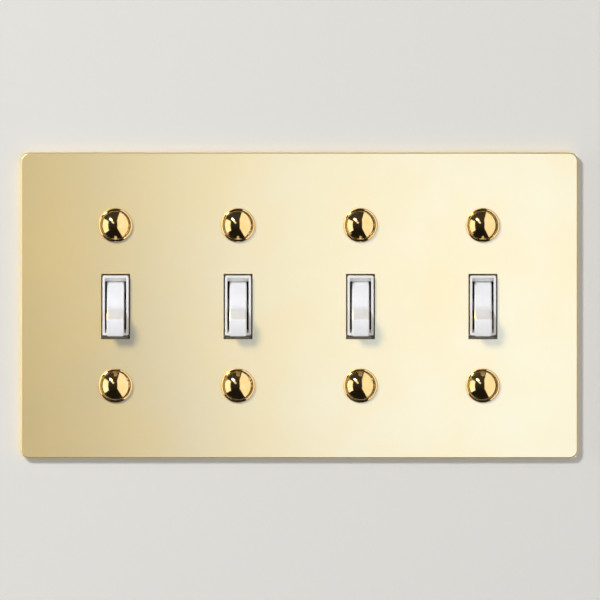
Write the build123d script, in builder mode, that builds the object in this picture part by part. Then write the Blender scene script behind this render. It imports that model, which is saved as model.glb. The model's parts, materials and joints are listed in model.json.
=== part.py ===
from build123d import *
import os
from math import asin, atan2, cos, degrees, hypot, radians, sin, tan

# Four toggle switches behind one brass wall plate. All sizes are in millimetres.
# X runs along the wall, Y into the wall and Z up. The origin lies on the wall's face at the plate's centre.
# The levers point to -Y and hang down, as they stand when the switches are at rest.

# Spacing that every wall box shares
gang_count = 4
gang_pitch = 46.04
plate_screw_distance = 60.33
box_screw_distance = 83.34

# Wall plate
plate_side = 35.69
plate_face = 1.1
plate_rim = 3.0
plate_corner_radius = 3.2
plate_edge = 0.4
hollow_corner_radius = 1.5
opening_side_gap = 0.5
opening_end_gap = 1.0
opening_drop = 0.4

# Domed plate screws
plate_screw_diameter = 3.5
plate_screw_reach = 8.0
dome_diameter = 12.8
dome_flange = 1.3
dome_bevel_height = 0.75
dome_crease_diameter = 10.3
dome_crease_width = 0.15
dome_crease_depth = 0.25
dome_height = 4.4

# Steel yoke
yoke_length = 106.4
yoke_width = 20.0
yoke_thickness = 1.2
yoke_end_gap = 1.3
ear_width = 33.0
ear_length = 9.0
ear_notch_width = 1.6
ear_notch_length = 3.0
window_clearance = 0.35
box_slot_length = 7.0
box_slot_height = 4.0
ground_tab_height = 8.0
ground_tab_reach = 9.5
ground_tab_drop = 36.0

# Legs of the yoke, clinched round the back of the housing
leg_height = 6.0
leg_hook = 3.0
leg_bend_radius = 1.0

# Box screws and their washers
box_screw_diameter = 3.5
box_screw_neck_diameter = 3.1
box_screw_neck_reach = 1.4
box_screw_reach = 22.0
box_screw_head_diameter = 7.4
box_screw_head_height = 1.4
box_screw_head_gap = 0.3
washer_size = 8.6
washer_thickness = 0.8
round_sides = 16
shank_sides = 8

# Moulded cover with the frame round the lever
body_width = 33.0
body_end_gap = 1.415
cover_thickness = 2.2
frame_width = 9.8
frame_height = 22.5
frame_wall = 0.9
frame_proud = 2.4
frame_corner_radius = 0.7
ramp_run = 1.35
ramp_depth = 3.4
cheek_thickness = 2.0
cheek_height = 10.0
cheek_depth = 7.0

# Moulded housing
body_depth = 26.2
housing_floor = 1.8
core_width = 24.0
core_wall = 2.0
housing_flange = 2.0
end_block = 7.5
barrier = 2.0
barrier_distance = 14.0

# Lever with its drum, trunnions and tail
pivot_depth = 4.3
toggle_tilt = 25.0
bat_length = 20.2
bat_width = 6.5
bat_root_height = 8.0
bat_tip_height = 7.2
bat_tip_bulge = 0.35
bat_tip_radius = 0.8
bat_root_fillet = 2.8
bat_edge = 0.45
drum_radius = 11.3
drum_shell = 1.5
drum_half_angle = 81.0
drum_clearance = 0.3
trunnion_diameter = 4.0
trunnion_length = 1.65
tail_length = 7.5
tail_thickness = 2.2
tail_point = 0.8

# Contact rocker and its spring
rocker_height = 4.1
rocker_tilt = 10.0
rocker_length = 22.0
rocker_width = 5.0
rocker_thickness = 0.8
rocker_fold = 1.8
rocker_fold_width = 4.4
rocker_trunnion_diameter = 1.6
rocker_eye_height = 3.2
spring_diameter = 3.4
spring_wire = 0.5
spring_turns = 4
spring_sides = 8
spring_gap = 0.3

# Terminals, contacts and terminal screws
strip_thickness = 0.8
cradle_width = 5.0
cradle_gap = 6.0
cradle_lip = 1.0
contact_distance = 18.0
contact_size = 3.2
contact_thickness = 0.8
fixed_contact_size = 3.6
terminal_tab_width = 8.0
terminal_tab_reach = 14.4
terminal_screw_depth = 16.0
terminal_screw_diameter = 4.1
terminal_screw_length = 3.0
terminal_head_diameter = 7.8
terminal_head_height = 1.9
ground_screw_diameter = 3.9
ground_screw_length = 4.0
ground_head_diameter = 7.0
ground_screw_depth = 5.2

# Clearances
screw_clearance = 0.25
thread_clearance = 0.05
running_clearance = 0.08
pin_clearance = 0.05
seat_clearance = 0.1
rib_clearance = 0.3
edge_match = 0.01

# Places that follow from the sizes above
gang_places = [(i - (gang_count - 1) / 2) * gang_pitch for i in range(gang_count)]
plate_width = (gang_count - 1) * gang_pitch + 2 * plate_side
plate_height = yoke_length + 2 * (yoke_end_gap + plate_rim)
plate_thickness = plate_face + yoke_thickness + box_screw_head_height + box_screw_head_gap
plate_screw_places = [(x, way * plate_screw_distance / 2) for x in gang_places for way in (-1, 1)]
opening_width = frame_width + 2 * opening_side_gap
opening_height = frame_height + 2 * opening_end_gap
frame_reach = plate_thickness + frame_proud
slot_width = frame_width - 2 * frame_wall
mouth_height = frame_height - 2 * frame_wall
throat_height = mouth_height - 2 * ramp_run
throat_depth = ramp_depth - frame_reach
body_height = plate_screw_distance - plate_screw_diameter - 2 * body_end_gap
floor_depth = body_depth - housing_floor
strip_depth = floor_depth - strip_thickness
rocker_depth = strip_depth - rocker_height
bay_height = body_height - 2 * end_block
leg_distance = body_height - end_block
wall_x = core_width / 2
traveler_screw_z = (bay_height + barrier_distance + barrier) / 4
rocker_trunnion_end = cradle_gap / 2 + strip_thickness + seat_clearance
rib_x = rocker_trunnion_end + rib_clearance
contact_reach = ((rocker_thickness / 2 + contact_thickness) * cos(radians(rocker_tilt))
                 + (contact_distance + contact_size) / 2 * sin(radians(rocker_tilt)))
fixed_contact_thickness = rocker_height - contact_reach - seat_clearance


def facing(x, depth):
    """An upright plane that faces the room, at this depth, with its own x and y along +X and +Z."""
    return Plane(origin=(x, depth, 0), x_dir=(1, 0, 0), z_dir=(0, -1, 0))


def edgewise(x, depth=0, tilt=0):
    """An upright plane across the wall: its own x runs along +Y, turned up by the tilt about the X axis."""
    turn = radians(tilt)
    return Plane(origin=(x, depth, 0), x_dir=(0, cos(turn), sin(turn)), z_dir=(1, 0, 0))


def lathe(seat, outward):
    """A plane for a turned profile: its own x is the radius and its own y runs outward along the axis."""
    return Plane(origin=seat, x_dir=(0, 0, 1), z_dir=Vector(0, 0, 1).cross(Vector(outward)))


def finish(part, name):
    """Labels one piece and writes it."""
    part.label = name
    export_step(part, f"parts/{name}.step")


def make_screws(seats, outward, diameter, length, head_diameter, head_height):
    """Screws whose heads sit on their seats and point outward, with flats in place of small round faces."""
    with BuildPart() as screws:
        for seat in seats:
            with BuildSketch(Plane(origin=seat, z_dir=outward)):
                RegularPolygon(head_diameter / 2, round_sides)
            extrude(amount=head_height)
            with BuildSketch(Plane(origin=seat, z_dir=outward)):
                RegularPolygon(diameter / 2, shank_sides)
            extrude(amount=-length)
    return screws.part


def make_yoke(x):
    """The steel strap: ears that bear on the wall, legs clinched round the housing and a grounding tab."""
    leg_x = (body_width + yoke_thickness) / 2
    with BuildPart() as yoke:
        with BuildSketch(facing(x, 0)):
            Rectangle(yoke_width, yoke_length)
            with GridLocations(0, yoke_length - ear_length, 1, 2):
                Rectangle(ear_width, ear_length)
            with GridLocations((yoke_width + ear_width) / 2, yoke_length, 2, 2):
                Rectangle(ear_notch_width, ear_notch_length * 2, mode=Mode.SUBTRACT)
            with GridLocations(0, leg_distance, 1, 2):
                Rectangle(body_width + 2 * yoke_thickness, leg_height)
            Rectangle(frame_width + 2 * window_clearance, frame_height + 2 * window_clearance,
                      mode=Mode.SUBTRACT)
            with GridLocations(0, box_screw_distance, 1, 2):
                SlotOverall(box_slot_length, box_slot_height, mode=Mode.SUBTRACT)
            with GridLocations(0, plate_screw_distance, 1, 2):
                RegularPolygon(plate_screw_diameter / 2 + thread_clearance, shank_sides, mode=Mode.SUBTRACT)
        extrude(amount=yoke_thickness)
        # Legs run back along the body's sides and hook round its rear corners
        with BuildSketch(facing(x, 0)):
            with GridLocations(2 * leg_x, leg_distance, 2, 2):
                Rectangle(yoke_thickness, leg_height)
        extrude(amount=-body_depth)
        with BuildSketch(facing(x, body_depth)):
            with GridLocations(body_width + 2 * yoke_thickness - leg_hook, leg_distance, 2, 2):
                Rectangle(leg_hook, leg_height)
        extrude(amount=-yoke_thickness)
        bends = yoke.edges().filter_by(Axis.Z).filter_by(
            lambda e: abs(abs(e.center().X - x) - leg_x - yoke_thickness / 2) < edge_match)
        fillet(bends, leg_bend_radius)
        # The grounding tab is bent back from the strap's side
        with BuildSketch(facing(x, 0)):
            with Locations((-(yoke_width - yoke_thickness) / 2, -ground_tab_drop)):
                Rectangle(yoke_thickness, ground_tab_height)
        extrude(amount=-ground_tab_reach)
        with BuildSketch(edgewise(x - yoke_width / 2)):
            with Locations((ground_screw_depth, -ground_tab_drop)):
                RegularPolygon(ground_screw_diameter / 2 + thread_clearance, shank_sides)
        extrude(amount=yoke_thickness, mode=Mode.SUBTRACT)
    return yoke.part


def make_cover(x):
    """The moulded front of the switch: a slab behind the yoke, the frame, and cheeks that carry the lever."""
    with BuildPart() as cover:
        with BuildSketch(facing(x, cover_thickness)):
            Rectangle(body_width, body_height)
        extrude(amount=cover_thickness)
        with BuildSketch(facing(x, 0)):
            RectangleRounded(frame_width, frame_height, frame_corner_radius)
        extrude(amount=frame_reach)
        with BuildSketch(facing(x, cheek_depth)):
            with GridLocations(slot_width + cheek_thickness, 0, 2, 1):
                Rectangle(cheek_thickness, cheek_height)
        extrude(amount=cheek_depth - cover_thickness)
        # The lever's way: a mouth with ramped ends that narrows to the room for the drum
        with BuildSketch(edgewise(x)):
            with BuildLine():
                Polyline((-frame_reach, mouth_height / 2), (throat_depth, throat_height / 2),
                         (throat_depth, -throat_height / 2), (-frame_reach, -mouth_height / 2), close=True)
            make_face()
            with Locations((pivot_depth, 0)):
                Circle(drum_radius + drum_clearance)
        extrude(amount=slot_width / 2, both=True, mode=Mode.SUBTRACT)
        # Open bearings for the lever's trunnions
        with BuildSketch(edgewise(x)):
            with Locations((pivot_depth, 0)):
                Circle(trunnion_diameter / 2 + running_clearance)
            with Locations(((pivot_depth + cheek_depth) / 2, 0)):
                Rectangle(cheek_depth - pivot_depth, trunnion_diameter + 2 * running_clearance)
        extrude(amount=slot_width / 2 + cheek_thickness, both=True, mode=Mode.SUBTRACT)
    return cover.part


def make_housing(x):
    """The moulded cup: a core that holds the contacts, end blocks, and barriers between the terminals."""
    depth = body_depth - cover_thickness
    with BuildPart() as housing:
        with BuildSketch(facing(x, body_depth)):
            Rectangle(core_width, body_height)
            with GridLocations(0, body_height - end_block, 1, 2):
                Rectangle(body_width, end_block)
            with GridLocations(0, barrier_distance, 1, 2):
                Rectangle(body_width, barrier)
        extrude(amount=depth)
        with BuildSketch(facing(x, cover_thickness + housing_flange)):
            Rectangle(body_width, body_height)
        extrude(amount=housing_flange)
        with BuildSketch(facing(x, cover_thickness)):
            Rectangle(core_width - 2 * core_wall, bay_height)
        extrude(amount=cover_thickness - floor_depth, mode=Mode.SUBTRACT)
        # Ribs on the side walls close the bearings in the cover's cheeks
        rib_front = pivot_depth + trunnion_diameter / 2 + running_clearance
        rib_back = strip_depth - seat_clearance
        rib_reach = wall_x - core_wall - rib_x
        with BuildSketch(facing(x, rib_back)):
            with GridLocations(2 * rib_x + rib_reach, 0, 2, 1):
                Rectangle(rib_reach, trunnion_diameter - 2 * seat_clearance)
        extrude(amount=rib_back - rib_front)
        # Ways out for the terminal strips, and windows behind the terminal screws
        with BuildSketch(facing(x, floor_depth)):
            with Locations((-(wall_x - core_wall / 2), 0)):
                Rectangle(core_wall, cradle_width + 2 * seat_clearance)
            for way in (-1, 1):
                with Locations((wall_x - core_wall / 2, way * traveler_screw_z)):
                    Rectangle(core_wall, terminal_tab_width + 2 * seat_clearance)
        extrude(amount=strip_thickness + seat_clearance, mode=Mode.SUBTRACT)
        window = terminal_screw_diameter + 2 * screw_clearance
        window_depth = terminal_screw_length - strip_thickness + seat_clearance
        with BuildSketch(edgewise(x - wall_x, terminal_screw_depth)):
            Rectangle(window, window)
        extrude(amount=window_depth, mode=Mode.SUBTRACT)
        with BuildSketch(edgewise(x + wall_x, terminal_screw_depth)):
            with GridLocations(0, 2 * traveler_screw_z, 1, 2):
                Rectangle(window, window)
        extrude(amount=-window_depth, mode=Mode.SUBTRACT)
    return housing.part


def make_toggle(x):
    """The lever, one moulding: a bat that swells into a drum, trunnions, and a tail for the spring."""
    tip, root = bat_tip_height / 2, bat_root_height / 2
    tail_end = tail_length - tail_thickness / 2
    drum_end = radians(180 - drum_half_angle)
    far = 2 * drum_radius
    with BuildPart() as toggle:
        # The plane's own x points back along the tail, so the bat lies on its negative side
        with BuildSketch(edgewise(x, pivot_depth, toggle_tilt)) as side:
            Circle(drum_radius)
            Circle(drum_radius - drum_shell, mode=Mode.SUBTRACT)
            with BuildLine():
                Polyline((0, 0), (far * cos(drum_end), far * sin(drum_end)), (far, far), (far, -far),
                         (far * cos(drum_end), -far * sin(drum_end)), close=True)
            make_face(mode=Mode.SUBTRACT)
            with BuildLine():
                Polyline((-bat_length, tip), (0, root), (0, -root), (-bat_length, -tip))
                ThreePointArc((-bat_length, tip), (-bat_length - bat_tip_bulge, 0), (-bat_length, -tip))
            make_face()
            with BuildLine():
                Polyline((0, root), (tail_end, tail_thickness / 2), (tail_length, tail_point / 2),
                         (tail_length, -tail_point / 2), (tail_end, -tail_thickness / 2), (0, -root),
                         close=True)
            make_face()
            fillet(side.vertices().sort_by(Axis.X)[:2], bat_tip_radius)
            roots = side.vertices().filter_by(
                lambda v: v.X < 0 and abs(hypot(v.X, v.Y) - drum_radius) < edge_match and abs(v.Y) < root)
            fillet(roots, bat_root_fillet)
        extrude(amount=bat_width / 2, both=True)
        rim = toggle.faces().filter_by(Axis.X).edges().filter_by(
            lambda e: hypot((e @ 0.5).Y - pivot_depth, (e @ 0.5).Z) > drum_radius - edge_match)
        chamfer(rim, bat_edge)
        with BuildSketch(edgewise(x, pivot_depth)):
            Circle(trunnion_diameter / 2)
        extrude(amount=slot_width / 2 + trunnion_length, both=True)
    return toggle.part


def make_rocker(x):
    """The contact rocker: a strip with a fold that the spring pushes on, and eyes with trunnions."""
    half, end = rocker_thickness / 2, rocker_length / 2
    fold_end = rocker_fold_width / 2
    slope = atan2(rocker_fold, fold_end)
    inner_end = fold_end - rocker_thickness * tan(slope / 2)
    inner_fold = rocker_thickness / cos(slope) - half - rocker_fold
    plane = edgewise(x, rocker_depth, rocker_tilt)
    with BuildPart() as rocker:
        with BuildSketch(plane):
            with BuildLine():
                Polyline((-half, -end), (-half, -fold_end), (-half - rocker_fold, 0), (-half, fold_end),
                         (-half, end), (half, end), (half, inner_end), (inner_fold, 0),
                         (half, -inner_end), (half, -end), close=True)
            make_face()
        extrude(amount=rocker_width / 2, both=True)
        for way in (-1, 1):
            side = plane.offset(way * rocker_width / 2)
            with BuildSketch(side):
                Rectangle(rocker_eye_height, rocker_eye_height)
            extrude(amount=-way * rocker_thickness)
            with BuildSketch(side):
                RegularPolygon(rocker_trunnion_diameter / 2, round_sides)
            extrude(amount=way * (rocker_trunnion_end - rocker_width / 2))
    return rocker.part


def make_rocker_contacts(x):
    """Two silver pads on the back of the rocker's arms."""
    with BuildPart() as contacts:
        with BuildSketch(edgewise(x, rocker_depth, rocker_tilt)):
            for z in (-contact_distance / 2, contact_distance / 2):
                with Locations(((rocker_thickness + contact_thickness) / 2, z)):
                    Rectangle(contact_thickness, contact_size)
        extrude(amount=contact_size / 2, both=True)
    return contacts.part


def make_spring(x):
    """The coil spring that stands between the lever's tail and the fold of the rocker."""
    tail, tip = radians(toggle_tilt), radians(rocker_tilt)
    fold_reach = rocker_thickness / 2 + rocker_fold
    tail_seat = Vector(x, pivot_depth + tail_length * cos(tail), tail_length * sin(tail))
    fold_seat = Vector(x, rocker_depth - fold_reach * cos(tip), -fold_reach * sin(tip))
    along = (fold_seat - tail_seat).normalized()
    standoff = spring_gap + spring_wire / 2
    length = (fold_seat - tail_seat).length - 2 * standoff
    base = Plane(origin=tail_seat + along * standoff, x_dir=(1, 0, 0), z_dir=along)
    coil_r = (spring_diameter - spring_wire) / 2
    steps = spring_turns * spring_sides
    turns = [base.from_local_coords(Vector(coil_r * cos(radians(i * 360 / spring_sides)),
                                           coil_r * sin(radians(i * 360 / spring_sides)), i * length / steps))
             for i in range(steps + 1)]
    with BuildPart() as spring:
        with BuildLine() as coil:
            Polyline(*turns)
        with BuildSketch(Plane(origin=turns[0], z_dir=coil.line % 0)):
            Rectangle(spring_wire, spring_wire)
        sweep(transition=Transition.RIGHT)
    return spring.part


def make_common_terminal(x):
    """The common terminal: a strip on the housing's floor, ears that cradle the rocker, and a screw tab."""
    strip_end, tab_end = cradle_gap / 2 + strip_thickness, wall_x + strip_thickness
    ear_front = rocker_depth - cradle_lip
    notch_r = rocker_trunnion_diameter / 2 + pin_clearance
    notch_tip = notch_r * 2 ** 0.5
    with BuildPart() as terminal:
        with BuildSketch(facing(x, floor_depth)):
            with Locations(((strip_end - tab_end) / 2, 0)):
                Rectangle(strip_end + tab_end, cradle_width)
        extrude(amount=strip_thickness)
        with BuildSketch(facing(x, strip_depth)):
            with GridLocations(cradle_gap + strip_thickness, 0, 2, 1):
                Rectangle(strip_thickness, cradle_width)
        extrude(amount=strip_depth - ear_front)
        # Notches at right angles, open to the front, cradle the rocker's trunnions
        with BuildSketch(edgewise(x, rocker_depth)):
            with BuildLine():
                Polyline((notch_tip, 0), (-cradle_lip, notch_tip + cradle_lip),
                         (-cradle_lip, -notch_tip - cradle_lip), close=True)
            make_face()
        extrude(amount=strip_end, both=True, mode=Mode.SUBTRACT)
        with BuildSketch(facing(x, floor_depth)):
            with Locations((-(wall_x + tab_end) / 2, 0)):
                Rectangle(strip_thickness, terminal_tab_width)
        extrude(amount=terminal_tab_reach)
        with BuildSketch(edgewise(x - tab_end, terminal_screw_depth)):
            RegularPolygon(terminal_screw_diameter / 2 + thread_clearance, shank_sides)
        extrude(amount=strip_thickness, mode=Mode.SUBTRACT)
    return terminal.part


def make_traveler_terminal(x, way):
    """A traveler terminal above (way 1) or below (way -1): a floor strip under a contact, and a screw tab."""
    tab_end, tongue = wall_x + strip_thickness, fixed_contact_size / 2
    contact_edge = contact_distance / 2 - tongue
    strip_edge = traveler_screw_z - terminal_tab_width / 2
    with BuildPart() as terminal:
        with BuildSketch(facing(x, floor_depth)):
            with Locations(((tab_end - tongue) / 2, way * traveler_screw_z)):
                Rectangle(tab_end + tongue, terminal_tab_width)
            with Locations((0, way * (contact_edge + strip_edge) / 2)):
                Rectangle(fixed_contact_size, strip_edge - contact_edge)
        extrude(amount=strip_thickness)
        with BuildSketch(facing(x, floor_depth)):
            with Locations(((wall_x + tab_end) / 2, way * traveler_screw_z)):
                Rectangle(strip_thickness, terminal_tab_width)
        extrude(amount=terminal_tab_reach)
        with BuildSketch(edgewise(x + wall_x, terminal_screw_depth)):
            with Locations((0, way * traveler_screw_z)):
                RegularPolygon(terminal_screw_diameter / 2 + thread_clearance, shank_sides)
        extrude(amount=strip_thickness, mode=Mode.SUBTRACT)
    return terminal.part


def make_traveler_contacts(x):
    """Two fixed silver pads on the traveler strips, behind the pads of the rocker."""
    with BuildPart() as contacts:
        with BuildSketch(facing(x, strip_depth)):
            with GridLocations(0, contact_distance, 1, 2):
                Rectangle(fixed_contact_size, fixed_contact_size)
        extrude(amount=fixed_contact_thickness)
    return contacts.part


# The wall plate: a thin brass face with a rim that bears on the wall all round
with BuildPart() as wall_plate:
    with BuildSketch(facing(0, 0)):
        RectangleRounded(plate_width, plate_height, plate_corner_radius)
    extrude(amount=plate_thickness)
    chamfer(wall_plate.faces().sort_by(Axis.Y)[0].edges(), plate_edge)
    with BuildSketch(facing(0, 0)):
        RectangleRounded(plate_width - 2 * plate_rim, plate_height - 2 * plate_rim, hollow_corner_radius)
    extrude(amount=plate_thickness - plate_face, mode=Mode.SUBTRACT)
    with BuildSketch(facing(0, 0)):
        with Locations((0, -opening_drop)):
            with GridLocations(gang_pitch, 0, gang_count, 1):
                Rectangle(opening_width, opening_height)
        with GridLocations(gang_pitch, plate_screw_distance, gang_count, 2):
            Circle(plate_screw_diameter / 2 + screw_clearance)
    extrude(amount=plate_thickness, mode=Mode.SUBTRACT)
finish(wall_plate.part, "wall_plate")

# Domed plate screws: a flange with a bevelled edge, a crease, and a high dome
with BuildPart() as dome_screws:
    flange_r, crease_r = dome_diameter / 2, dome_crease_diameter / 2
    crease = dome_flange - dome_crease_depth
    dome_rise = dome_height - crease
    dome_r = (crease_r ** 2 + dome_rise ** 2) / (2 * dome_rise)
    dome_swing = degrees(asin(crease_r / dome_r))
    for x, z in plate_screw_places:
        seat = (x, -plate_thickness, z)
        with BuildSketch(lathe(seat, (0, -1, 0))):
            with BuildLine():
                Polyline((0, dome_height), (0, 0), (flange_r, 0), (flange_r, dome_flange - dome_bevel_height),
                         (crease_r + dome_crease_width, dome_flange), (crease_r, crease))
                CenterArc((0, dome_height - dome_r), dome_r, 90 - dome_swing, dome_swing)
            make_face()
        revolve(axis=Axis(seat, (0, -1, 0)))
    with BuildSketch(facing(0, -plate_thickness)):
        with GridLocations(gang_pitch, plate_screw_distance, gang_count, 2):
            RegularPolygon(plate_screw_diameter / 2, shank_sides)
    extrude(amount=-plate_thickness - plate_screw_reach)
finish(dome_screws.part, "dome_screws")

# Box screws: a plain neck under the head, and the threaded stretch behind it
with BuildPart() as box_screws:
    with BuildSketch(facing(0, -yoke_thickness)):
        with GridLocations(gang_pitch, box_screw_distance, gang_count, 2):
            RegularPolygon(box_screw_head_diameter / 2, round_sides)
    extrude(amount=box_screw_head_height)
    with BuildSketch(facing(0, -yoke_thickness)):
        with GridLocations(gang_pitch, box_screw_distance, gang_count, 2):
            RegularPolygon(box_screw_neck_diameter / 2, shank_sides)
    extrude(amount=-yoke_thickness - box_screw_neck_reach)
    with BuildSketch(facing(0, box_screw_neck_reach)):
        with GridLocations(gang_pitch, box_screw_distance, gang_count, 2):
            Circle(box_screw_diameter / 2)
    extrude(amount=box_screw_neck_reach - box_screw_reach)
finish(box_screws.part, "box_screws")

with BuildPart() as screw_washers:
    with BuildSketch(facing(0, washer_thickness)):
        with GridLocations(gang_pitch, box_screw_distance, gang_count, 2):
            Rectangle(washer_size, washer_size)
            RegularPolygon(box_screw_neck_diameter / 2 + thread_clearance, shank_sides, mode=Mode.SUBTRACT)
    extrude(amount=washer_thickness)
finish(screw_washers.part, "screw_washers")

# Screws of the terminals and of the grounding tabs
tab_face = wall_x + strip_thickness
common_seats = [(x - tab_face, terminal_screw_depth, 0) for x in gang_places]
traveler_seats = [(x + tab_face, terminal_screw_depth, z)
                  for x in gang_places for z in (-traveler_screw_z, traveler_screw_z)]
ground_seats = [(x - yoke_width / 2, ground_screw_depth, -ground_tab_drop) for x in gang_places]
finish(make_screws(common_seats, (-1, 0, 0), terminal_screw_diameter, terminal_screw_length,
                   terminal_head_diameter, terminal_head_height), "common_screws")
finish(make_screws(traveler_seats, (1, 0, 0), terminal_screw_diameter, terminal_screw_length,
                   terminal_head_diameter, terminal_head_height), "traveler_screws")
finish(make_screws(ground_seats, (-1, 0, 0), ground_screw_diameter, ground_screw_length,
                   ground_head_diameter, terminal_head_height), "ground_screws")

for number, x in enumerate(gang_places, 1):
    finish(make_yoke(x), f"yoke_{number}")
    finish(make_cover(x), f"cover_{number}")
    finish(make_housing(x), f"housing_{number}")
    finish(make_toggle(x), f"toggle_{number}")
    finish(make_rocker(x), f"rocker_{number}")
    finish(make_rocker_contacts(x), f"rocker_contacts_{number}")
    finish(make_spring(x), f"spring_{number}")
    finish(make_common_terminal(x), f"common_terminal_{number}")
    finish(make_traveler_terminal(x, 1), f"upper_terminal_{number}")
    finish(make_traveler_terminal(x, -1), f"lower_terminal_{number}")
    finish(make_traveler_contacts(x), f"traveler_contacts_{number}")
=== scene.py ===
"""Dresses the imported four-gang toggle switch and sets up its studio.

The plate and the moulded, stamped and punched parts are finer copies of the frame's solids, with their sharp
edges rounded. Screws and springs are turned and wound anew. Every length is in metres, in the frame's own
axes: X along the wall, Y into the wall and Z up.
"""

import json
from math import cos, pi, radians, sin, tau

import bmesh
import bpy
from bpy.props import FloatProperty, FloatVectorProperty, IntProperty, PointerProperty, StringProperty
from mathutils import Matrix, Vector


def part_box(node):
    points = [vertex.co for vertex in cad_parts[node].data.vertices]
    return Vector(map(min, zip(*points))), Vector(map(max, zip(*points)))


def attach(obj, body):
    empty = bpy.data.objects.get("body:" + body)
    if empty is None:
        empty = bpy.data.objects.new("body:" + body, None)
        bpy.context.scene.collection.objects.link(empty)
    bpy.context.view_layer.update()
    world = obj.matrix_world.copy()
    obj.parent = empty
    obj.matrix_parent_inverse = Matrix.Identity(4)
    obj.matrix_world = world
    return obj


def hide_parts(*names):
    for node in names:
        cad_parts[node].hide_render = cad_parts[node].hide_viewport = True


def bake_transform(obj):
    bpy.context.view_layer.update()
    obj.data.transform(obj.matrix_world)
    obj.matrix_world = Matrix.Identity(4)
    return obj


bl_info = {
    "name": "Toggle switch set",
    "version": (1, 0, 0),
    "blender": (4, 5, 0),
    "location": "View3D > Sidebar > Toggle switch",
    "description": "Builds the finished pieces of a row of toggle switches and the studio round them",
    "category": "Add Mesh",
}

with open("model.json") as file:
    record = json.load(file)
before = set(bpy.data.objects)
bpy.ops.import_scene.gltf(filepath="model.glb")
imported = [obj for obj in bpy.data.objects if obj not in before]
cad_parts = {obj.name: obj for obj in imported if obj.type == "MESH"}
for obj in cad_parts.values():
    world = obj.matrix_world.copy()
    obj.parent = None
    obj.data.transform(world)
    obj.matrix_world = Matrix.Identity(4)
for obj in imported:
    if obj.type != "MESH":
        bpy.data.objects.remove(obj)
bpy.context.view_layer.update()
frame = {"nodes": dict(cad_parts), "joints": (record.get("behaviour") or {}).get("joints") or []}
MM = 0.001
GANGS = sorted(int(name.split("_")[1]) for name in frame["nodes"] if name.startswith("toggle_"))
GANG_X = {n: (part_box(f"toggle_{n}")[0].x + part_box(f"toggle_{n}")[1].x) / 2 for n in GANGS}
PIVOTS = {joint["name"]: Vector(joint["pos_m"]) for joint in frame["joints"]}
LAST_X = GANG_X[GANGS[-1]]
PLATE_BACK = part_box("wall_plate")[1].y
PLATE_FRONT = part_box("wall_plate")[0].y
# All the screws have 32 turns of thread to the inch
THREAD_PITCH, THREAD_DEPTH = 0.794 * MM, 0.38 * MM


def linear(hex_colour):
    """An sRGB hex colour as linear red, green, blue and alpha."""
    parts = [int(hex_colour[i:i + 2], 16) / 255 for i in (0, 2, 4)]
    return [p / 12.92 if p <= 0.04045 else ((p + 0.055) / 1.055) ** 2.4 for p in parts] + [1.0]


class PlateSettings(bpy.types.PropertyGroup):
    """Finish of the brass plate and its domed screws."""
    sheet_colour: StringProperty(name="Sheet colour", description="Satin brass, as an sRGB hex",
                                 default="F3DFA4")
    sheet_shade: StringProperty(name="Sheet shade", default="F0D99A",
                                description="Slightly darker clouds in the satin brass, hex")
    screw_colour: StringProperty(name="Screw colour", description="Polished brass of the domes, hex",
                                 default="F1D29C")
    edge: FloatProperty(name="Edge rounding", description="Rounding on the sheet's sharp edges",
                        default=0.16 * MM, unit="LENGTH")
    crease_depth: FloatProperty(name="Crease depth", description="Depth of the groove round each dome",
                                default=0.25 * MM, unit="LENGTH")
    crease_radius: FloatProperty(name="Crease radius", description="Where the dome springs from its flange",
                                 default=5.6 * MM, unit="LENGTH")
    flange: FloatProperty(name="Flange height", description="Height of the flange under the dome",
                          default=1.7 * MM, unit="LENGTH")
    flange_bevel: FloatProperty(name="Flange bevel", description="Height of the bevel round the flange",
                                default=0.45 * MM, unit="LENGTH")
    shank: FloatProperty(name="Shank diameter", description="Thread diameter of plate and box screws",
                         default=3.5 * MM, unit="LENGTH")


class DeviceSettings(bpy.types.PropertyGroup):
    """Finish of the switches behind the plate."""
    lever_colour: StringProperty(name="Lever colour", description="Polished white thermoplastic, hex",
                                 default="EBEBEE")
    cover_colour: StringProperty(name="Cover colour", description="Moulded white thermoplastic, hex",
                                 default="F1F0EF")
    housing_colour: StringProperty(name="Housing colour", description="Dark moulded phenolic, hex",
                                   default="4A4543")
    moulded_edge: FloatProperty(name="Moulded edge", description="Rounding on moulded edges",
                                default=0.18 * MM, unit="LENGTH")
    stamped_edge: FloatProperty(name="Stamped edge", description="Rounding on stamped edges",
                                default=0.08 * MM, unit="LENGTH")
    slot_width: FloatProperty(name="Drive slot", description="Width of the screwdriver slot",
                              default=1.2 * MM, unit="LENGTH")
    slot_depth: FloatProperty(name="Slot depth", description="Depth of the screwdriver slot",
                              default=1.1 * MM, unit="LENGTH")
    spring_diameter: FloatProperty(name="Spring diameter", description="Outer diameter of the coil",
                                   default=3.4 * MM, unit="LENGTH")
    spring_wire: FloatProperty(name="Spring wire", description="Wire diameter of the coil",
                               default=0.5 * MM, unit="LENGTH")
    spring_turns: IntProperty(name="Spring turns", description="Turns from end to end", default=6)


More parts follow.
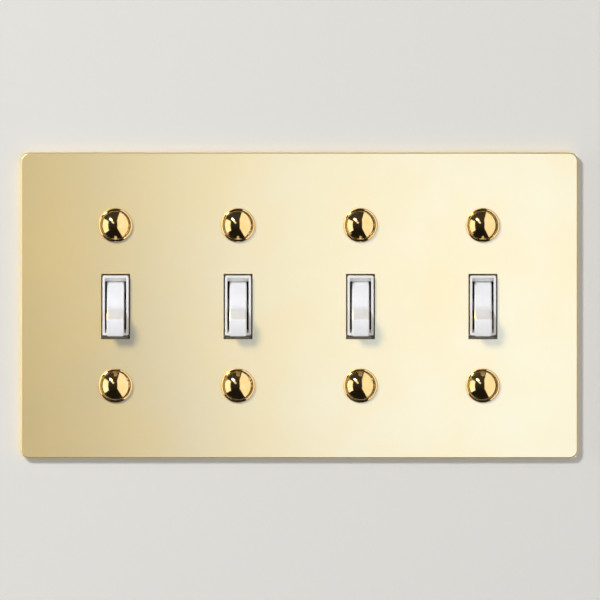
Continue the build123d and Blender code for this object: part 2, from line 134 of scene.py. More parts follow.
class StudioSettings(bpy.types.PropertyGroup):
    """Camera, backdrop and lamps."""
    camera_distance: FloatProperty(name="Camera distance", description="From the plate's front to the lens",
                                   default=5.0, unit="LENGTH")
    view_width: FloatProperty(name="View width", default=0.2256, unit="LENGTH",
                              description="Width that the picture takes in at the plate's front")
    view_centre: FloatVectorProperty(name="View centre", size=2, default=(0.00027, 0.00205), unit="LENGTH",
                                     description="Middle of the picture on the plate's front, X and Z")
    wall_colour: StringProperty(name="Wall colour", description="Pale matt wall, hex", default="DFDEDA")
    key_share: FloatProperty(name="Key share", description="Share of the key in the light on the wall",
                             default=0.5)
    fill_share: FloatProperty(name="Fill share", default=0.21,
                              description="Share of the low frontal fill in the light on the wall")
    lift_share: FloatProperty(name="Lift share", default=0.14,
                              description="The low lamp for the levers alone, measured as the fill is")
    side_level: FloatProperty(name="Side level", default=0.42,
                              description="Brightness of the right-hand panel that metal doesn't mirror")
    panel_level: FloatProperty(name="Panel level", default=1.2,
                               description="Brightness of the large panels that the metal mirrors")
    spark_level: FloatProperty(name="Spark level", description="Brightness of the small lamp in the domes",
                               default=12.0)
    sheen_level: FloatProperty(name="Sheen level", default=2.1,
                               description="Brightness of the near panel that only the sheet mirrors")
    even_level: FloatProperty(name="Even level", description="Strength of the world's even light",
                              default=0.14)


def new_piece(name, work, body, material, slot, *nodes):
    """Turns a bmesh into a finished piece that stands for these nodes and rides on the named body, if any."""
    smooth_below = radians(32)
    mesh = bpy.data.meshes.new(name)
    work.to_mesh(mesh)
    work.free()
    for face in mesh.polygons:
        face.use_smooth = True
    mesh.set_sharp_from_angle(angle=smooth_below)
    mesh.materials.append(material)
    piece = bpy.data.objects.new(name, mesh)
    bpy.context.scene.collection.objects.link(piece)
    weighted = piece.modifiers.new("even shading", "WEIGHTED_NORMAL")
    weighted.keep_sharp = True
    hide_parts(*nodes)
    if body:
        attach(piece, body)
    return piece


def rounded_copy(node, edge, segments):
    """A copy of a node's solid with whole faces in place of triangles and its sharp edges rounded."""
    same_point, same_plane, sharp = 0.002 * MM, radians(0.5), radians(35)
    work = bmesh.new()
    work.from_mesh(frame["nodes"][node].data)
    bmesh.ops.remove_doubles(work, verts=work.verts, dist=same_point)
    bmesh.ops.dissolve_limit(work, angle_limit=same_plane, use_dissolve_boundaries=False,
                             verts=work.verts, edges=work.edges)
    edges = [e for e in work.edges if len(e.link_faces) == 2 and e.calc_face_angle() > sharp]
    bmesh.ops.bevel(work, geom=edges, offset=edge, offset_type="OFFSET", segments=segments, profile=0.5,
                    affect="EDGES", clamp_overlap=True, loop_slide=True, material=-1)
    bmesh.ops.recalc_face_normals(work, faces=work.faces)
    return work


def turned(profile, rounded, steps):
    """Spins a half profile of (radius, height) points about Z, with some of its corners rounded first.

    A rounded corner is given as its place in the profile, the size of its rounding and its segments.
    """
    work = bmesh.new()
    points = [work.verts.new((radius, 0, height)) for radius, height in profile]
    edges = [work.edges.new(pair) for pair in zip(points, points[1:])]
    for index, size, segments in rounded:
        bmesh.ops.bevel(work, geom=[points[index]], offset=size, offset_type="OFFSET", segments=segments,
                        profile=0.5, affect="VERTICES", clamp_overlap=True, material=-1)
    geometry = list(work.verts) + list(work.edges)
    bmesh.ops.spin(work, geom=geometry, cent=(0, 0, 0), axis=(0, 0, 1), angle=tau, steps=steps,
                   use_merge=True, use_duplicate=False)
    bmesh.ops.remove_doubles(work, verts=work.verts, dist=0.001 * MM)
    bmesh.ops.recalc_face_normals(work, faces=work.faces)
    return work


def wound(section, radius, pitch, turns, steps):
    """Winds a closed loop of (radius, height) points round Z as a helix, and closes both ends."""
    work = bmesh.new()
    points = [work.verts.new((radius + across, 0, up)) for across, up in section]
    edges = [work.edges.new((a, b)) for a, b in zip(points, points[1:] + points[:1])]
    bmesh.ops.spin(work, geom=points + edges, cent=(0, 0, 0), axis=(0, 0, 1), angle=turns * tau,
                   dvec=(0, 0, pitch / steps), steps=round(turns * steps), use_merge=False,
                   use_duplicate=False)
    open_edges = [e for e in work.edges if len(e.link_faces) == 1]
    bmesh.ops.holes_fill(work, edges=open_edges, sides=len(section))
    bmesh.ops.recalc_face_normals(work, faces=work.faces)
    return work


def joined(parts):
    """One bmesh from several (bmesh, place) pairs."""
    whole = bmesh.new()
    for part, place in parts:
        mesh = bpy.data.meshes.new("part")
        part.to_mesh(mesh)
        known = len(whole.verts)
        whole.from_mesh(mesh)
        whole.verts.ensure_lookup_table()
        bmesh.ops.transform(whole, matrix=place, verts=whole.verts[known:])
        bpy.data.meshes.remove(mesh)
    return whole


def at(seat, outward):
    """A place whose own Z points outward from the seat."""
    turn = Vector(outward).to_track_quat("Z", "Y").to_matrix().to_4x4()
    return Matrix.Translation(seat) @ turn


def carved(body, cutter):
    """The body with the cutter's shape taken out; both are bmeshes."""
    objects = []
    for work in (body, cutter):
        mesh = bpy.data.meshes.new("carving")
        work.to_mesh(mesh)
        work.free()
        objects.append(bpy.data.objects.new("carving", mesh))
        bpy.context.scene.collection.objects.link(objects[-1])
    cut = objects[0].modifiers.new("cut", "BOOLEAN")
    cut.operation, cut.solver, cut.object = "DIFFERENCE", "EXACT", objects[1]
    graph = bpy.context.evaluated_depsgraph_get()
    mesh = bpy.data.meshes.new_from_object(objects[0].evaluated_get(graph))
    result = bmesh.new()
    result.from_mesh(mesh)
    bpy.data.meshes.remove(mesh)
    for helper in objects:
        bpy.data.objects.remove(helper)
    return result


def box_between(low, high):
    """A plain box from one corner to the other."""
    work = bmesh.new()
    centre, size = (Vector(low) + Vector(high)) / 2, Vector(high) - Vector(low)
    bmesh.ops.create_cube(work, size=1, matrix=Matrix.Translation(centre) @ Matrix.Diagonal((*size, 1)))
    return work


def threaded(radius, low, high):
    """The ridge of a screw thread between two heights, to go round a core that is THREAD_DEPTH thinner."""
    steps, sunk = 20, 0.03 * MM
    flank, crest, root = THREAD_PITCH * 0.42, THREAD_PITCH * 0.06, -THREAD_DEPTH - sunk
    section = [(root, -flank), (0, -crest), (0, crest), (root, flank)]
    turns = (high - low - 2 * flank) / THREAD_PITCH
    return wound(section, radius, THREAD_PITCH, turns, steps), Matrix.Translation((0, 0, low + flank))


def screw_blank(head_r, head, reach, core, rounded):
    """A turned screw with a straight-sided head of this radius and height, still without slot and thread."""
    round_steps = 40
    profile = [(0, -reach), (core, -reach), (core, 0), (head_r, 0), (head_r, head), (0, head)]
    return turned(profile, rounded, round_steps)


def slot_cutter(half_length, half_width, floor, head):
    """A cutter for a slot across a screw's head, which stands out above the head."""
    return box_between((-half_length, -half_width, floor), (half_length, half_width, head * 1.5))


def front_places(depth, screw_z):
    """Places that face the room at this depth, one below and one above each lever."""
    return [at((x, depth, z), (0, -1, 0)) for x in GANG_X.values() for z in (-screw_z, screw_z)]


def add_node(tree, kind, inputs=None, **settings):
    """Adds one shader node with its sockets keyed by name, or by number where two have the same name.

    A socket given as another node's output is linked, and any other value is set.
    """
    node = tree.nodes.new("ShaderNode" + kind)
    for name, value in settings.items():
        setattr(node, name, value)
    for key, value in (inputs or {}).items():
        if isinstance(value, bpy.types.NodeSocket):
            tree.links.new(value, node.inputs[key])
        else:
            node.inputs[key].default_value = value
    return node


# Numbers of a Mix node's factor, its two colours and its colour result
MIX_FACTOR, MIX_A, MIX_B, MIX_RESULT = 0, 6, 7, 2


def start_material(name, **constants):
    """A new node material whose main shader has these constant sockets set."""
    material = bpy.data.materials.new(name)
    material.use_nodes = True
    tree = material.node_tree
    shader = tree.nodes["Principled BSDF"]
    for socket, value in constants.items():
        shader.inputs[socket.replace("_", " ")].default_value = value
    return material, tree, shader


def pattern(tree, stretch, size_mm, detail, rough=0.5):
    """A noise on Object coordinates with blots about size_mm across, drawn out by stretch on each axis."""
    place = add_node(tree, "TexCoord")
    scale = [1 / MM / (size_mm * s) for s in stretch]
    mapping = add_node(tree, "Mapping", {"Vector": place.outputs["Object"], "Scale": scale})
    noise = add_node(tree, "TexNoise", {"Vector": mapping.outputs["Vector"], "Scale": 1.0, "Detail": detail,
                                        "Roughness": rough})
    return noise.outputs["Fac"]


def spread(tree, source, low, high):
    """Maps a pattern's middle range, 0.3 to 0.7, to the range from low to high."""
    ranged = add_node(tree, "MapRange", {"Value": source, "From Min": 0.3, "From Max": 0.7, "To Min": low,
                                         "To Max": high})
    return ranged.outputs["Result"]


def tint(tree, source, first, second):
    """Mixes two hex colours by a pattern."""
    sockets = {MIX_FACTOR: spread(tree, source, 0, 1), MIX_A: linear(first), MIX_B: linear(second)}
    return add_node(tree, "Mix", sockets, data_type="RGBA").outputs[MIX_RESULT]


def coat(tree, shader, source, colours, roughness):
    """Lets a pattern choose the shader's colour between two hex colours, and its roughness in a range."""
    tree.links.new(tint(tree, source, *colours), shader.inputs["Base Color"])
    tree.links.new(spread(tree, source, *roughness), shader.inputs["Roughness"])


def dent(tree, shader, source, depth_mm, strength):
    """Feeds a pattern to the shader as bump of this depth."""
    bump = add_node(tree, "Bump", {"Height": source, "Distance": depth_mm * MM, "Strength": strength})
    tree.links.new(bump.outputs["Normal"], shader.inputs["Normal"])


def satin_brass_sheet(settings):
    """Rolled brass sheet, satin polished: a soft wide sheen, faint upright polishing lines and clouds."""
    material, tree, shader = start_material("satin_polished_brass_sheet", Metallic=1.0)
    clouds = pattern(tree, (1, 1, 1), 34, 3)
    lines = pattern(tree, (1, 1, 60), 0.5, 2)
    coat(tree, shader, clouds, (settings.sheet_colour, settings.sheet_shade), (0.35, 0.37))
    # Real polishing lines are about 0.05 mm apart; 0.5 mm is as fine as the picture can show
    dent(tree, shader, lines, 0.004, 0.35)
    return material


def polished_turned_brass(settings):
    """Turned and polished brass: mirror-like, with a trace of buffing haze."""
    material, tree, shader = start_material("polished_turned_brass", Metallic=1.0)
    haze = pattern(tree, (1, 1, 1), 2.5, 3)
    coat(tree, shader, haze, (settings.screw_colour, "EBC880"), (0.07, 0.13))
    dent(tree, shader, pattern(tree, (1, 1, 1), 0.6, 2), 0.0015, 0.4)
    return material


def polished_white_plastic(settings):
    """Glossy white thermoplastic from a polished mould: clean highlights with a slight ripple."""
    material, tree, shader = start_material("polished_white_thermoplastic", IOR=1.49)
    ripple = pattern(tree, (1, 1, 1), 3.0, 2)
    coat(tree, shader, ripple, (settings.lever_colour, "E7E7E9"), (0.16, 0.22))
    dent(tree, shader, ripple, 0.012, 0.5)
    return material


def moulded_white_plastic(settings):
    """White thermoplastic from a plainer mould: a softer gloss and a fine grain."""
    material, tree, shader = start_material("moulded_white_thermoplastic", IOR=1.49)
    flow = pattern(tree, (1, 1, 2), 4.0, 2)
    coat(tree, shader, flow, (settings.cover_colour, "ECEBE9"), (0.24, 0.32))
    dent(tree, shader, pattern(tree, (1, 1, 1), 0.35, 2), 0.004, 0.5)
    return material


def moulded_phenolic(settings):
    """Dark phenolic compound: matt, with pale filler specks and a gritty skin."""
    material, tree, shader = start_material("moulded_phenolic", IOR=1.6)
    specks = pattern(tree, (1, 1, 1), 0.5, 4, 0.7)
    tree.links.new(tint(tree, specks, settings.housing_colour, "554F4C"), shader.inputs["Base Color"])
    tree.links.new(spread(tree, pattern(tree, (1, 1, 1), 7, 3), 0.38, 0.52), shader.inputs["Roughness"])
    dent(tree, shader, specks, 0.012, 0.6)
    return material


def zinc_plated_steel():
    """Zinc-plated strip steel: cool grey, faintly mottled, with rolling marks along the strip."""
    material, tree, shader = start_material("zinc_plated_strip_steel", Metallic=1.0)
    mottle = pattern(tree, (1, 1, 1), 5, 4, 0.6)
    rolled = pattern(tree, (1, 1, 25), 0.4, 2)
    coat(tree, shader, mottle, ("C6C8C9", "B2B5B8"), (0.3, 0.44))
    dent(tree, shader, rolled, 0.006, 0.5)
    return material


def stamped_brass():
    """Plain stamped terminal brass: yellow, slightly dulled, with fine rolling marks."""
    material, tree, shader = start_material("stamped_terminal_brass", Metallic=1.0)
    dulled = pattern(tree, (1, 1, 1), 4, 3, 0.6)
    coat(tree, shader, dulled, ("E3C377", "CFA95C"), (0.24, 0.4))
    dent(tree, shader, pattern(tree, (20, 1, 1), 0.35, 2), 0.005, 0.5)
    return material


def small_metal_finish(name, colours, roughness, metallic=1.0):
    """Plating, lacquer or bare metal on small parts: two close shades, each with its own gloss."""
    material, tree, shader = start_material(name, Metallic=metallic)
    worn = pattern(tree, (1, 1, 1), 1.6, 4, 0.6)
    coat(tree, shader, worn, colours, roughness)
    dent(tree, shader, pattern(tree, (1, 1, 1), 0.3, 2), 0.003, 0.5)
    return material


def vulcanised_fibre():
    """Red-brown vulcanised fibre: matt, with drawn-out fibres of a lighter brown."""
    material, tree, shader = start_material("vulcanised_fibre", IOR=1.5)
    fibres = pattern(tree, (8, 1, 1), 0.25, 4, 0.7)
    coat(tree, shader, fibres, ("8A5238", "A0684A"), (0.6, 0.8))
    dent(tree, shader, fibres, 0.02, 0.6)
    return material


def matt_wall_paint(settings):
    """Matt wall paint, seen only from the room, so that the switches show from behind."""
    material, tree, shader = start_material("matt_wall_paint", Roughness=0.9, IOR=1.45,
                                            Specular_IOR_Level=0.0)
    roller = pattern(tree, (1, 1, 1), 1.2, 3)
    tree.links.new(tint(tree, roller, settings.wall_colour, "DEDDD9"), shader.inputs["Base Color"])
    clear = add_node(tree, "BsdfTransparent")
    side = add_node(tree, "NewGeometry")
    seen = add_node(tree, "MixShader", {0: side.outputs["Backfacing"], 1: shader.outputs["BSDF"],
                                        2: clear.outputs["BSDF"]})
    tree.links.new(seen.outputs["Shader"], tree.nodes["Material Output"].inputs["Surface"])
    return material


def dark_cloth_painted_glow():
    """Dark studio cloth that only metal and gloss see, with a painted glow in place of dim room light:
    brighter above, fading to near black below.
    """
    fade, dimmest, brightest = 7.5, 0.008, 0.045
    material, tree, shader = start_material("dark_cloth_with_painted_glow", Base_Color=linear("000000"), Roughness=1.0)
    place = add_node(tree, "TexCoord")
    height = add_node(tree, "SeparateXYZ", {"Vector": place.outputs["Object"]})
    glow = add_node(tree, "MapRange", {"Value": height.outputs["Z"], "From Min": -fade, "From Max": fade,
                                       "To Min": dimmest, "To Max": brightest})
    # The cloth's emission is painted light: a dim glow that the domes mirror, stronger higher up
    shader.inputs["Emission Color"].default_value = linear("FFF6EC")
    tree.links.new(glow.outputs["Result"], shader.inputs["Emission Strength"])
    return material


class BuildPlate(bpy.types.Operator):
    """Builds the satin brass plate with softened edges"""
    bl_idname = "toggle_switch.build_plate"
    bl_label = "Build plate"

    def execute(self, context):
        settings = context.scene.switch_plate
        work = rounded_copy("wall_plate", settings.edge, 3)
        new_piece("brass_plate", work, "root", satin_brass_sheet(settings), "plate_brass", "wall_plate")
        return {"FINISHED"}


class BuildDomeScrews(bpy.types.Operator):
    """Turns the domed plate screws with their creases and threads"""
    bl_idname = "toggle_switch.build_dome_screws"
    bl_label = "Build domed screws"

    def execute(self, context):
        settings = context.scene.switch_plate
        low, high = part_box("dome_screws")
        flange_r, crease_r = high.x - LAST_X, settings.crease_radius
        rise, reach = PLATE_FRONT - low.y, high.y - PLATE_FRONT
        crease, crease_width = settings.flange - settings.crease_depth, 0.15 * MM
        shank_r = settings.shank / 2
        core, neck, run_out = shank_r - THREAD_DEPTH, 2.9 * MM, 0.5 * MM
        # The dome is a parabola's, which ends less steep than a ball's at the crease
        steps, round_steps = 16, 96
        shares = [i / steps for i in range(steps, -1, -1)]
        dome = [(crease_r * share, rise - (rise - crease) * share ** 2) for share in shares]
        profile = [(0, -reach), (core, -reach), (core, 0), (flange_r, 0),
                   (flange_r, settings.flange - settings.flange_bevel),
                   (crease_r + crease_width, settings.flange)] + dome
        tip, foot, bevel, lip = 1, 3, 4, 5
        rounded = [(lip, 0.1 * MM, 3), (bevel, 0.3 * MM, 5), (foot, 0.1 * MM, 2), (tip, 0.5 * MM, 2)]
        head = turned(profile, rounded, round_steps)
        ridge, lift = threaded(shank_r, run_out - reach, -neck)
        screw = joined([(head, Matrix()), (ridge, lift)])
        work = joined([(screw, place) for place in front_places(PLATE_FRONT, high.z - flange_r)])
        new_piece("domed_plate_screws", work, "root", polished_turned_brass(settings), "screw_brass",
                  "dome_screws")
        return {"FINISHED"}


class BuildBoxScrews(bpy.types.Operator):
    """Builds the long box screws with slotted heads and threads, and their fibre washers"""
    bl_idname = "toggle_switch.build_box_screws"
    bl_label = "Build box screws"

    def execute(self, context):
        plate, device = context.scene.switch_plate, context.scene.switch_device
        low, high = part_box("box_screws")
        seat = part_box("yoke_1")[0].y
        head_r, head = high.x - LAST_X, seat - low.y
        reach, neck, run_out = high.y - seat, 1.4 * MM - seat, 0.4 * MM
        shank_r, tip, rim = plate.shank / 2, 1, 4
        body = screw_blank(head_r, head, reach, shank_r - THREAD_DEPTH,
                           [(rim, head * 0.5, 5), (tip, 0.5 * MM, 2)])
        floor = head - device.slot_depth * 0.8
        body = carved(body, slot_cutter(head_r * 1.1, device.slot_width / 2, floor, head))
        ridge, lift = threaded(shank_r, run_out - reach, -neck)
        screw = joined([(body, Matrix()), (ridge, lift)])
        places = front_places(seat, high.z - head_r)
        finish = small_metal_finish("zinc_plated_screw_steel", ("C9CBCC", "B4B7BA"), (0.22, 0.36))
        new_piece("slotted_box_screws", joined([(screw, place) for place in places]), "root", finish,
                  "screw_steel", "box_screws")
        washer_edge = 0.06 * MM
        washers = rounded_copy("screw_washers", washer_edge, 1)
        new_piece("fibre_washers", washers, "root", vulcanised_fibre(), "washer_fibre", "screw_washers")
        return {"FINISHED"}


def terminal_screw(settings, radius, head, length, shank_r):
    """A binding screw: a low round head with a slot and a cross slot, and a threaded shank."""
    foot, rim, run_out = 3, 4, 0.1 * MM
    body = screw_blank(radius, head, length, shank_r - THREAD_DEPTH,
                       [(rim, head * 0.45, 5), (foot, 0.1 * MM, 1)])
    half, floor = settings.slot_width / 2, head - settings.slot_depth
    body = carved(body, slot_cutter(radius * 1.1, half, floor, head))
    body = carved(body, slot_cutter(half, radius * 0.55, floor, head))
    ridge, lift = threaded(shank_r, run_out - length, -run_out)
    return joined([(body, Matrix()), (ridge, lift)])


class BuildTerminalScrews(bpy.types.Operator):
    """Builds the dark common screws, the brass traveler screws and the green ground screws"""
    bl_idname = "toggle_switch.build_terminal_screws"
    bl_label = "Build terminal screws"

    def execute(self, context):
        settings = context.scene.switch_device
        binding_shank, ground_shank, ground_head = 4.1 * MM, 3.9 * MM, 1.9 * MM
        dark = small_metal_finish("black_oxide_steel", ("2E2C2B", "3A3735"), (0.3, 0.5))
        brass = small_metal_finish("plain_turned_brass", ("E6C67A", "D4AF62"), (0.2, 0.34))
        green = small_metal_finish("green_lacquered_steel", ("2F7A46", "286B3C"), (0.26, 0.4), metallic=0.55)
        # Each kind's node, side of the switch, seat beside the gang's middle, shank, finish and slot
        kinds = (("common_screws", -1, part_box("common_terminal_1")[0].x - GANG_X[1], binding_shank, dark,
                  "dark_screw"),
                 ("traveler_screws", 1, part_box("upper_terminal_1")[1].x - GANG_X[1], binding_shank, brass,
                  "terminal_brass"),
                 ("ground_screws", -1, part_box("ground_screws")[0].x - GANG_X[1] + ground_head, ground_shank,
                  green, "ground_green"))
        for node, way, seat_x, shank, finish, slot in kinds:
            low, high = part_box(node)
            radius = (high.y - low.y) / 2
            depth = (high.y + low.y) / 2
            edge_x = low.x if way < 0 else high.x
            outer = GANG_X[1] if way < 0 else LAST_X
            head = abs(edge_x - outer - seat_x)
            length = (high.x - LAST_X - seat_x) if way < 0 else (seat_x - (low.x - GANG_X[1]))
            # A switch has one such screw, or one below and one above
            two_rows = high.z - low.z > 3 * radius
            rows = [low.z + radius, high.z - radius] if two_rows else [(low.z + high.z) / 2]
            unit = terminal_screw(settings, radius, head, length, shank / 2)
            places = [at((x + seat_x, depth, z), (way, 0, 0)) for x in GANG_X.values() for z in rows]
            work = joined([(unit, place) for place in places])
            new_piece(f"slotted_{node}", work, "root", finish, slot, node)
        return {"FINISHED"}


class BuildLevers(bpy.types.Operator):
    """Builds the white levers and the frames round them"""
    bl_idname = "toggle_switch.build_levers"
    bl_label = "Build levers and covers"

    def execute(self, context):
        settings = context.scene.switch_device
        lever_finish, cover_finish = polished_white_plastic(settings), moulded_white_plastic(settings)
        for n in GANGS:
            lever = rounded_copy(f"toggle_{n}", settings.moulded_edge, 3)
            new_piece(f"lever_{n}", lever, f"toggle_{n}", lever_finish, "toggle_white", f"toggle_{n}")
            cover = rounded_copy(f"cover_{n}", settings.moulded_edge, 3)
            new_piece(f"front_cover_{n}", cover, "root", cover_finish, "cover_white", f"cover_{n}")
        return {"FINISHED"}


class BuildBodies(bpy.types.Operator):
    """Builds the housings and the steel yokes"""
    bl_idname = "toggle_switch.build_bodies"
    bl_label = "Build housings and yokes"

    def execute(self, context):
        settings = context.scene.switch_device
        housing_finish, yoke_finish = moulded_phenolic(settings), zinc_plated_steel()
        for n in GANGS:
            housing = rounded_copy(f"housing_{n}", settings.moulded_edge, 2)
            new_piece(f"rear_housing_{n}", housing, "root", housing_finish, "housing_plastic", f"housing_{n}")
            yoke = rounded_copy(f"yoke_{n}", settings.stamped_edge, 2)
            new_piece(f"steel_yoke_{n}", yoke, "root", yoke_finish, "yoke_steel", f"yoke_{n}")
        return {"FINISHED"}


class BuildContacts(bpy.types.Operator):
    """Finishes the terminals, rockers and contact pads, and winds the springs"""
    bl_idname = "toggle_switch.build_contacts"
    bl_label = "Build contacts and springs"

    def execute(self, context):
        settings = context.scene.switch_device
        pad_edge = 0.15 * MM
        brass = stamped_brass()
        silver = small_metal_finish("silver_contact_alloy", ("DEDCD8", "C9C6C1"), (0.2, 0.35))
        steel = small_metal_finish("drawn_spring_steel", ("A9ABAE", "93969A"), (0.25, 0.4))
        for n in GANGS:
            for node in (f"common_terminal_{n}", f"upper_terminal_{n}", f"lower_terminal_{n}"):
                work = rounded_copy(node, settings.stamped_edge, 2)
                new_piece(f"stamped_{node}", work, "root", brass, "terminal_brass", node)
            rocker = rounded_copy(f"rocker_{n}", settings.stamped_edge, 2)
            new_piece(f"contact_rocker_{n}", rocker, f"rocker_{n}", brass, "terminal_brass", f"rocker_{n}")
            pads = rounded_copy(f"rocker_contacts_{n}", pad_edge, 2)
            new_piece(f"moving_pads_{n}", pads, f"rocker_{n}", silver, "contact_silver",
                      f"rocker_contacts_{n}")
            pads = rounded_copy(f"traveler_contacts_{n}", pad_edge, 2)
            new_piece(f"fixed_pads_{n}", pads, "root", silver, "contact_silver", f"traveler_contacts_{n}")
            self.wind_spring(settings, n, steel)
        return {"FINISHED"}

    def wind_spring(self, settings, n, finish):
        """A round wire coil between the lever's tail and the fold of the rocker."""
        # At rest the lever and the rocker lean by half their travel
        tilt, rocker_tilt = radians(25), radians(10)
        tail, fold, gap = 7.5 * MM, 2.2 * MM, 0.3 * MM
        top = PIVOTS[f"toggle_{n}_pivot"] + tail * Vector((0, cos(tilt), sin(tilt)))
        bottom = PIVOTS[f"rocker_{n}_pivot"] - fold * Vector((0, cos(rocker_tilt), sin(rocker_tilt)))
        along = (bottom - top).normalized()
        wire_r = settings.spring_wire / 2
        length = (bottom - top).length - 2 * gap - 2 * wire_r
        sides, steps = 10, 24
        section = [(wire_r * cos(tau * i / sides), wire_r * sin(tau * i / sides)) for i in range(sides)]
        coil = wound(section, settings.spring_diameter / 2 - wire_r, length / settings.spring_turns,
                     settings.spring_turns, steps)
        place = at(top + along * (gap + wire_r), along)
        piece = new_piece(f"coil_spring_{n}", joined([(coil, place)]), None, finish, "spring_steel",
                          f"spring_{n}")
        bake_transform(piece)


class BuildStudio(bpy.types.Operator):
    """Sets up the wall, the lamps, the world and the camera"""
    bl_idname = "toggle_switch.build_studio"
    bl_label = "Build studio"

    def execute(self, context):
        settings = context.scene.switch_studio
        self.hang_wall(settings)
        self.hang_cloth()
        self.place_lamps(settings)
        self.place_sheet_lamps(settings)
        self.paint_world(context.scene, settings)
        self.place_camera(context.scene, settings)
        context.scene.view_settings.view_transform = "Standard"
        return {"FINISHED"}

    def hang_wall(self, settings):
        """A pale wall just behind the plate's rim, with a hole that the rim covers."""
        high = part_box("wall_plate")[1]
        reach, lap, gap = 3, 0.5 * MM, 0.05 * MM
        work = bmesh.new()
        bmesh.ops.create_grid(work, x_segments=1, y_segments=1, size=1,
                              matrix=Matrix.Translation((0, PLATE_BACK + gap, 0))
                              @ Matrix.Rotation(radians(90), 4, "X")
                              @ Matrix.Diagonal((reach + high.x - lap, reach + high.z - lap, 1, 1)))
        ring = bmesh.ops.inset_region(work, faces=work.faces[:], thickness=reach, use_boundary=True,
                                      use_even_offset=True)["faces"]
        hole = [face for face in work.faces if face not in ring]
        bmesh.ops.delete(work, geom=hole, context="FACES")
        self.stage_piece("wall", work, matt_wall_paint(settings))

    def hang_cloth(self):
        """Dark cloth all round the room side, which leaves dark bands in the polished domes; its painted glow
        keeps the bands off pure black.
        """
        radius, rear_edge = 12, 0.001
        work = bmesh.new()
        bmesh.ops.create_uvsphere(work, u_segments=48, v_segments=24, radius=radius)
        bmesh.ops.bisect_plane(work, geom=list(work.verts) + list(work.edges) + list(work.faces),
                               plane_co=(0, rear_edge, 0), plane_no=(0, 1, 0), clear_outer=True)
        cloth = self.stage_piece("cloth", work, dark_cloth_painted_glow())
        cloth.visible_camera = cloth.visible_diffuse = cloth.visible_shadow = False
        cloth.visible_transmission = cloth.visible_volume_scatter = False

    def stage_piece(self, name, work, material):
        """A mesh that belongs to the studio."""
        mesh = bpy.data.meshes.new(name)
        work.to_mesh(mesh)
        work.free()
        mesh.materials.append(material)
        piece = bpy.data.objects.new(name, mesh)
        bpy.context.scene.collection.objects.link(piece)
        return piece

    def add_panel(self, name, place, size, brightness, facing=None, along=(0, 0, 1), colour="FFFFFF"):
        """A soft panel of this width and height, as bright as a white sheet in full light at brightness 1.

        It faces the part unless facing gives it another way to look, and along is the way its height runs.
        """
        lamp = bpy.data.lights.new(name, "AREA")
        lamp.shape, lamp.size, lamp.size_y = "RECTANGLE", *size
        lamp.energy = brightness * pi * size[0] * size[1]
        lamp.color = linear(colour)[:3]
        panel = bpy.data.objects.new(name, lamp)
        bpy.context.scene.collection.objects.link(panel)
        back = -Vector(facing).normalized() if facing else Vector(place).normalized()
        across = Vector(along).cross(back).normalized()
        turn = Matrix((across, back.cross(across), back)).transposed()
        panel.matrix_world = Matrix.Translation(place) @ turn.to_4x4()
        panel.visible_camera = False
        return panel

    def add_wall_light(self, name, place, size, share):
        """A small panel that gives this share of the light on the wall, and that no metal mirrors."""
        distance, area = Vector(place).length, size[0] * size[1]
        lamp = self.add_panel(name, place, size, share * pi * distance ** 3 / (area * abs(place[1])))
        lamp.visible_glossy = False
        return lamp

    def light_only(self, lamps, *names):
        """Keeps these lamps' light to the named pieces."""
        receivers = bpy.data.collections.new("lit_by_" + lamps[0].name)
        for name in names:
            receivers.objects.link(bpy.data.objects[name])
        for lamp in lamps:
            lamp.light_linking.receiver_collection = receivers

    def light_all_but(self, lamp, name):
        """Keeps the lamp's light off one piece."""
        receivers = bpy.data.collections.new("not_lit_by_" + lamp.name)
        receivers.objects.link(bpy.data.objects[name])
        receivers.collection_objects[0].light_linking.link_state = "EXCLUDE"
        lamp.light_linking.receiver_collection = receivers

    def place_lamps(self, settings):
        """Lamps for matt surfaces, a lamp for the levers alone, and panels that metal mirrors."""
        # The key, 35 degrees off the plate's axis on the upper left, draws the shadows that the fill softens
        self.add_wall_light("key", (-0.8, -1.6, 0.8), (0.34, 0.34), settings.key_share)
        self.add_wall_light("fill", (0.5, -1.8, -0.5), (0.8, 0.6), settings.fill_share)
        lift = self.add_wall_light("lift", (0.1, -1.6, -0.9), (0.8, 0.6), settings.lift_share)
        self.light_only([lift], *(f"lever_{n}" for n in GANGS))
        side = self.add_panel("side", (0.95, -1.6, 0), (3.2, 3.0), settings.side_level, facing=(-1, 0, 0))
        side.visible_glossy = False
        left_level, tail_level = settings.panel_level * 1.25, settings.spark_level * 0.1
        rear_level = 3.0
        self.add_panel("left", (-0.9, -0.32, -0.05), (0.5, 1.1), left_level, facing=(1, 0, 0))
        right = self.add_panel("right", (0.9, -1.85, 0.8), (3.5, 4.8), settings.panel_level,
                               facing=(-1, 0, 0))
        self.light_all_but(right, "brass_plate")
        # Each dome mirrors this small lamp as a white spark, and the dimmer one as the spark's tail
        spark = self.add_panel("spark", (-0.86, -0.86, 0.98), (0.24, 0.5), settings.spark_level,
                               along=(-1, 0, 1))
        tail = self.add_panel("spark_tail", (-0.6, -1.25, 0.6), (0.3, 0.6), tail_level, along=(-1, 0, 1))
        for lamp in (right, spark, tail):
            lamp.visible_diffuse = False
        self.add_panel("rear", (0.6, 1.2, 0.7), (1.2, 1.2), rear_level)

    def place_sheet_lamps(self, settings):
        """Lamps for the brass sheet alone, which give it its sheen."""
        sheen, side_sheen, key_sheen = settings.sheen_level, 0.7, settings.sheen_level * 25
        # The bright panel stands close on the right, so its sheen fades out to the left
        near, left_edge, size = 0.35, -0.044, (0.34, 0.34)
        bright = self.add_panel("sheet_bright", (left_edge + size[0] / 2, -near, -0.025), size, sheen,
                                facing=(0, 1, 0), along=(-0.14, 0, 1), colour="A9BFFF")
        sheet_key = self.add_panel("sheet_key", (-4, -8, 4), (2.4, 2.4), key_sheen, colour="FFF3D0")
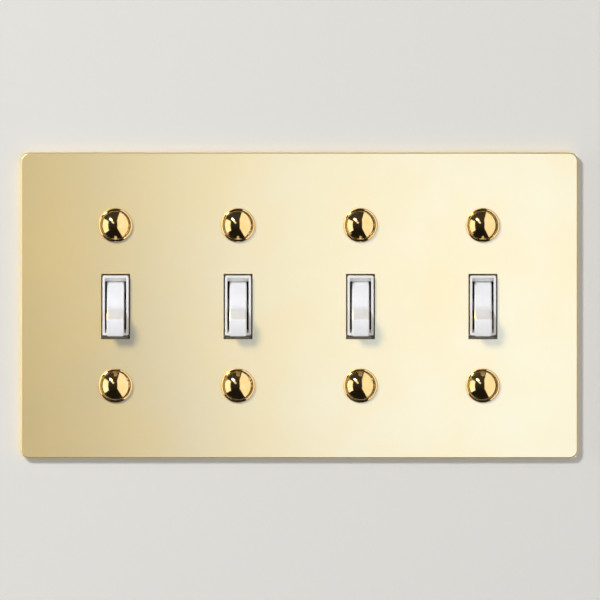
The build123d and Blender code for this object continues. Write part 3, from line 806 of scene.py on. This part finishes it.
        # These two show mostly when the sheet is seen from one side
        sheet_left = self.add_panel("sheet_left", (-2.7, -2.0, -0.4), (3, 4), side_sheen, colour="FFEBCC")
        sheet_right = self.add_panel("sheet_right", (2.7, -2.0, -0.4), (3, 4), side_sheen, colour="FFEBCC")
        self.light_only([bright, sheet_key, sheet_left, sheet_right], "brass_plate")

    def paint_world(self, scene, settings):
        """The wall's own pale colour for what is seen or mirrored, and a low even light for the rest."""
        world = bpy.data.worlds.new("studio")
        world.use_nodes = True
        scene.world = world
        tree = world.node_tree
        tree.nodes.clear()
        path = add_node(tree, "LightPath")
        seen = add_node(tree, "Math", {0: path.outputs["Is Camera Ray"], 1: path.outputs["Is Glossy Ray"]},
                        operation="MAXIMUM")
        seen = add_node(tree, "Math", {0: seen.outputs["Value"], 1: path.outputs["Is Transmission Ray"]},
                        operation="MAXIMUM")
        pale = linear(settings.wall_colour)
        even = add_node(tree, "Background", {"Color": pale, "Strength": settings.even_level})
        shown = add_node(tree, "Background", {"Color": pale, "Strength": 1.0})
        both = add_node(tree, "MixShader", {0: seen.outputs["Value"], 1: even.outputs["Background"],
                                            2: shown.outputs["Background"]})
        add_node(tree, "OutputWorld", {"Surface": both.outputs["Shader"]})

    def place_camera(self, scene, settings):
        """A long lens straight in front of the plate, a little above its middle."""
        lens = bpy.data.cameras.new("camera")
        # A sensor 36 mm wide, which the lens's own millimetres go by
        lens.sensor_width = 36
        lens.lens = lens.sensor_width * settings.camera_distance / settings.view_width
        camera = bpy.data.objects.new("camera", lens)
        scene.collection.objects.link(camera)
        x, z = settings.view_centre
        camera.location = (x, PLATE_FRONT - settings.camera_distance, z)
        camera.rotation_euler = (radians(90), 0, 0)
        lens.clip_start, lens.clip_end = 0.1, 20
        scene.camera = camera


BUILDERS = (BuildPlate, BuildDomeScrews, BuildBoxScrews, BuildTerminalScrews, BuildLevers, BuildBodies,
            BuildContacts, BuildStudio)


class SwitchPanel(bpy.types.Panel):
    """Lists the builders and their settings in the sidebar"""
    bl_idname = "VIEW3D_PT_toggle_switch"
    bl_label = "Toggle switch"
    bl_space_type = "VIEW_3D"
    bl_region_type = "UI"
    bl_category = "Toggle switch"

    def draw(self, context):
        for group in (context.scene.switch_plate, context.scene.switch_device, context.scene.switch_studio):
            column = self.layout.column(align=True)
            for name in group.__annotations__:
                column.prop(group, name)
        for builder in BUILDERS:
            self.layout.operator(builder.bl_idname)


CLASSES = (PlateSettings, DeviceSettings, StudioSettings, *BUILDERS, SwitchPanel)


def register():
    for item in CLASSES:
        bpy.utils.register_class(item)
    bpy.types.Scene.switch_plate = PointerProperty(type=PlateSettings)
    bpy.types.Scene.switch_device = PointerProperty(type=DeviceSettings)
    bpy.types.Scene.switch_studio = PointerProperty(type=StudioSettings)


def unregister():
    del bpy.types.Scene.switch_plate
    del bpy.types.Scene.switch_device
    del bpy.types.Scene.switch_studio
    for item in reversed(CLASSES):
        bpy.utils.unregister_class(item)


def main():
    register()
    for builder in BUILDERS:
        group, name = builder.bl_idname.split(".")
        if getattr(getattr(bpy.ops, group), name)() != {"FINISHED"}:
            raise RuntimeError(f"{builder.bl_label} didn't finish")


if __name__ == "__main__":
    main()
